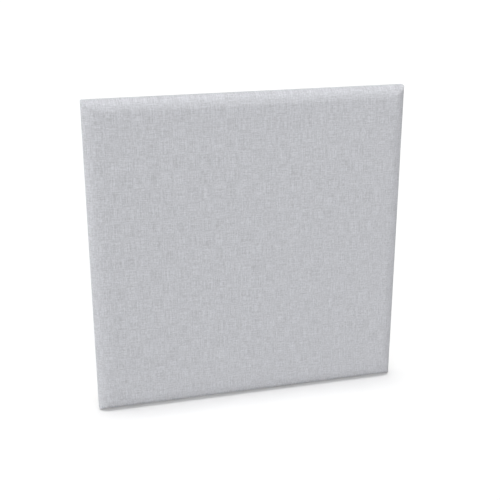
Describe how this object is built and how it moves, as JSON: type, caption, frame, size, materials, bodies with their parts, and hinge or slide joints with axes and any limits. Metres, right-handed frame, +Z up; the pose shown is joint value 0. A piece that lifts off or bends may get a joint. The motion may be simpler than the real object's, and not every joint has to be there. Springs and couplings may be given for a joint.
{
  "type": "pinnable acoustic wall panel",
  "caption": "Square sound absorbing wall panel with a soft pinning board under stretched grey cloth, rounded front edges, and bevelled cleats that hang it on a wall batten.",
  "frame": {"origin": "centre of the wall batten's back face, which lies on the wall", "axes": "+X to the right seen from the room, +Y into the wall, +Z up"},
  "size_m": [1.2, 0.0613, 1.2],
  "materials": {
    "cover_cloth": "light grey melange weave, matt",
    "wadding": "white needled polyester wadding",
    "fibreboard": "soft porous fibreboard, uncoated",
    "absorber": "pressed grey fibre felt",
    "pine": "planed softwood, uncoated",
    "beech": "plain beech, glued in",
    "scrim": "black spunbonded fleece",
    "plywood": "birch plywood, sanded, edges bare",
    "zinc_steel": "bright zinc plated",
    "rubber": "moulded, matt dark grey"
  },
  "bodies": {
    "wall_side": {"wall_batten": "plywood"},
    "panel": {"fabric_cover": "cover_cloth", "wadding_layer": "wadding", "pin_board": "fibreboard", "core_slab_left": "absorber", "core_slab_right": "absorber", "top_rail": "pine", "right_stile": "pine", "bottom_rail": "pine", "left_stile": "pine", "centre_brace": "pine", "mitre_key_top_left": "beech", "mitre_key_top_right": "beech", "mitre_key_bottom_left": "beech", "mitre_key_bottom_right": "beech", "brace_dowel_top_left": "beech", "brace_dowel_top_right": "beech", "brace_dowel_bottom_left": "beech", "brace_dowel_bottom_right": "beech", "back_scrim": "scrim", "cover_staple_top_1": "zinc_steel", "cover_staple_top_2": "zinc_steel", "cover_staple_top_3": "zinc_steel", "cover_staple_right_1": "zinc_steel", "cover_staple_right_2": "zinc_steel", "cover_staple_right_3": "zinc_steel", "cover_staple_bottom_1": "zinc_steel", "cover_staple_bottom_2": "zinc_steel", "cover_staple_bottom_3": "zinc_steel", "cover_staple_left_1": "zinc_steel", "cover_staple_left_2": "zinc_steel", "cover_staple_left_3": "zinc_steel", "scrim_staple_top_1": "zinc_steel", "scrim_staple_top_2": "zinc_steel", "scrim_staple_right_1": "zinc_steel", "scrim_staple_right_2": "zinc_steel", "scrim_staple_bottom_1": "zinc_steel", "scrim_staple_bottom_2": "zinc_steel", "scrim_staple_left_1": "zinc_steel", "scrim_staple_left_2": "zinc_steel", "cleat_left": "plywood", "cleat_right": "plywood", "cleat_screw_left_1": "zinc_steel", "cleat_screw_left_2": "zinc_steel", "cleat_screw_left_3": "zinc_steel", "cleat_screw_right_1": "zinc_steel", "cleat_screw_right_2": "zinc_steel", "cleat_screw_right_3": "zinc_steel", "bumper_left": "rubber", "bumper_right": "rubber", "bumper_screw_left": "zinc_steel", "bumper_screw_right": "zinc_steel"}
  },
  "joints": [
    {"name": "lift_off", "type": "slide", "parent": "wall_side", "child": "panel", "axis": [0, 0, 1], "range_m": [0, 0.014]}
  ]
}
